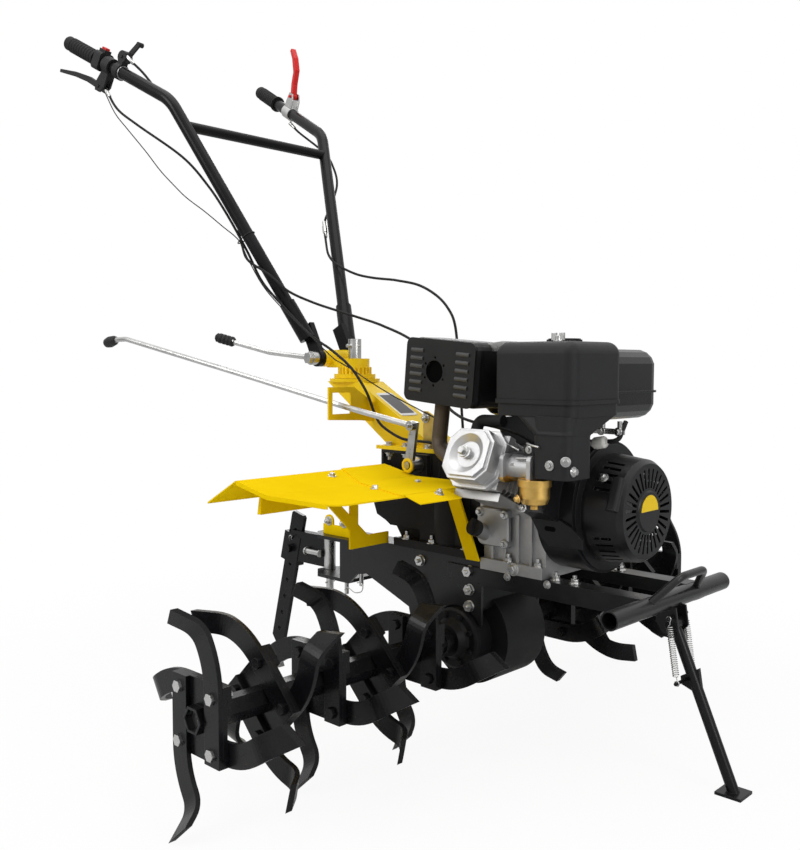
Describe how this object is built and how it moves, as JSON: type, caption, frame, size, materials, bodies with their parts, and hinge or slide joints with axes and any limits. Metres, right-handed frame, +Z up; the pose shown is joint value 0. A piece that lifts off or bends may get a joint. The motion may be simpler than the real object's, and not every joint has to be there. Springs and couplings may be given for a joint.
{
  "type": "motor cultivator",
  "caption": "Walk-behind petrol tiller: engine on a rail frame, gear case with rows of curved bolt-on tines, swivelling tall handlebars, depth stake, front stand and yellow fenders.",
  "frame": {"origin": "on the ground under the middle of the object's bounding box", "axes": "+X forward to the front bumper, +Y to the operator's left along the tine axle, +Z up"},
  "size_m": [1.7326, 1.5188, 1.6248],
  "materials": {
    "yellow_paint": "smooth semi-gloss yellow paint",
    "black_paint": "satin black paint over cast and welded steel",
    "black_gloss": "gloss black paint on pressed sheet and tube",
    "cast_alloy": "as-cast silver-painted aluminium",
    "zinc_steel": "bright zinc-plated steel",
    "dark_steel": "black oxide steel",
    "black_plastic": "fine-grained black moulding",
    "black_rubber": "matt black rubber",
    "red_plastic": "gloss red moulding",
    "brass_alloy": "yellow-passivated die casting",
    "exhaust_steel": "heat-proof black paint"
  },
  "bodies": {
    "chassis": {"rail_right": "black_paint", "rail_left": "black_paint", "front_bumper": "black_paint", "lift_loop": "black_paint", "side_plate_right": "black_paint", "side_plate_left": "black_paint", "hitch_box": "black_paint", "gear_case": "black_paint", "axle_covers": "black_paint", "upper_gear_case": "black_paint", "column_bracket": "black_paint", "steering_column": "yellow_paint", "fender_right": "yellow_paint", "fender_left": "yellow_paint", "fender_struts": "yellow_paint", "frame_bolts": "zinc_steel", "crankcase": "cast_alloy", "cylinder_head": "cast_alloy", "rocker_cover": "cast_alloy", "fan_shroud": "black_gloss", "recoil_cover": "black_gloss", "muffler": "exhaust_steel", "air_filter_cover": "black_plastic", "air_filter_base": "black_plastic", "carburetor": "brass_alloy", "fuel_tank": "black_gloss", "spark_plug_cap": "black_rubber", "cables_lower": "black_rubber"},
    "rotor": {"axle_shaft": "zinc_steel", "tine_hub_right": "black_paint", "tine_hub_left": "black_paint", "blades_right": "black_paint", "blades_left": "black_paint", "blade_bolts": "zinc_steel"},
    "stand": {"stand_leg": "black_paint", "stand_springs": "zinc_steel"},
    "stake_holder": {"stake_holder": "black_paint"},
    "stake": {"depth_stake": "dark_steel"},
    "shift_lever": {"shift_lever": "zinc_steel"},
    "shift_rod": {"shift_rod": "zinc_steel"},
    "crank": {"crankshaft": "zinc_steel"},
    "starter_grip": {"recoil_grip": "black_plastic"},
    "fuel_cap": {"fuel_cap": "black_plastic"},
    "oil_cap": {"oil_cap": "black_plastic"},
    "swivel": {"swivel_head": "yellow_paint"},
    "swivel_lock": {"swivel_lock": "zinc_steel"},
    "handlebars": {"handlebar_right": "black_gloss", "handlebar_left": "black_gloss", "handle_brace": "black_gloss", "handle_grips": "black_rubber", "clutch_perch": "black_plastic", "switch_box": "black_plastic", "throttle_base": "black_plastic", "lock_bracket": "zinc_steel", "cables_upper": "black_rubber"},
    "clamp": {"clamp_lever": "black_gloss"},
    "clutch_lever": {"clutch_lever": "black_plastic"},
    "throttle": {"throttle_lever": "black_plastic"},
    "lock_lever": {"lock_lever": "red_plastic"},
    "stop_button": {"stop_button": "red_plastic"}
  },
  "joints": [
    {"name": "rotor_spin", "type": "hinge", "parent": "chassis", "child": "rotor", "pos_m": [0.31028, 0, 0.182], "axis": [0, 1, 0], "continuous": true},
    {"name": "stand_fold", "type": "hinge", "parent": "chassis", "child": "stand", "pos_m": [0.72828, 0, 0.272], "axis": [0, 1, 0], "range_deg": [0, 100], "deforming": ["stand_springs"]},
    {"name": "hitch_swing", "type": "hinge", "parent": "chassis", "child": "stake_holder", "pos_m": [-0.17772, 0, 0.272], "axis": [0, 0, 1], "range_deg": [-15, 15]},
    {"name": "stake_height", "type": "slide", "parent": "stake_holder", "child": "stake", "axis": [0.2445, 0, 0.9697], "range_m": [0, 0.14]},
    {"name": "shift_turn", "type": "hinge", "parent": "chassis", "child": "shift_lever", "pos_m": [0.20028, 0, 0.52], "axis": [0, 1, 0], "range_deg": [-15, 15]},
    {"name": "rod_swing", "type": "hinge", "parent": "shift_lever", "child": "shift_rod", "pos_m": [0.21529, -0.1323, 0.602], "axis": [0, 1, 0], "range_deg": [-15, 15]},
    {"name": "crank_spin", "type": "hinge", "parent": "chassis", "child": "crank", "pos_m": [0.51028, 0, 0.464], "axis": [1, 0, 0], "continuous": true},
    {"name": "starter_pull", "type": "slide", "parent": "chassis", "child": "starter_grip", "axis": [0, -0.9272, 0.3746], "range_m": [0, 0.6], "stiffness_N_per_m": 20},
    {"name": "fuel_cap_turn", "type": "hinge", "parent": "chassis", "child": "fuel_cap", "pos_m": [0.44028, 0.0735, 0.7], "axis": [0, 0, 1], "range_deg": [0, 120]},
    {"name": "oil_cap_turn", "type": "hinge", "parent": "chassis", "child": "oil_cap", "pos_m": [0.38028, -0.117, 0.409], "axis": [0, -0.9063, 0.4226], "range_deg": [0, 180]},
    {"name": "handle_swivel", "type": "hinge", "parent": "chassis", "child": "swivel", "pos_m": [-0.08972, 0, 0.692], "axis": [0, 0, 1], "range_deg": [-30, 30], "deforming": ["cables_lower"]},
    {"name": "swivel_lock_lift", "type": "slide", "parent": "swivel", "child": "swivel_lock", "axis": [0, 0, 1], "range_m": [0, 0.015]},
    {"name": "handle_tilt", "type": "hinge", "parent": "swivel", "child": "handlebars", "pos_m": [-0.15971, 0, 0.739], "axis": [0, 1, 0], "range_deg": [-40, 10], "deforming": ["cables_upper"]},
    {"name": "clamp_turn", "type": "hinge", "parent": "swivel", "child": "clamp", "pos_m": [-0.15971, 0, 0.739], "axis": [0, 1, 0], "range_deg": [0, 60]},
    {"name": "clutch_pull", "type": "hinge", "parent": "handlebars", "child": "clutch_lever", "pos_m": [-0.71407, -0.28585, 1.41985], "axis": [-0.1881, 0.9821, 0], "range_deg": [0, 13], "stiffness_Nm_per_rad": 2},
    {"name": "throttle_turn", "type": "hinge", "parent": "handlebars", "child": "throttle", "pos_m": [-0.62968, -0.26968, 1.47803], "axis": [0.1881, -0.9821, 0], "range_deg": [-35, 35]},
    {"name": "lock_lever_turn", "type": "hinge", "parent": "handlebars", "child": "lock_lever", "pos_m": [-0.63107, 0.26995, 1.49015], "axis": [-0.1881, -0.9821, 0], "range_deg": [0, 40]},
    {"name": "stop_press", "type": "slide", "parent": "handlebars", "child": "stop_button", "axis": [-0.4663, -0.0893, -0.8801], "range_m": [0, 0.003], "stiffness_N_per_m": 300}
  ],
  "couplings": [
    {"joint": "rod_swing", "follows": "shift_turn", "ratio": -1}
  ]
}
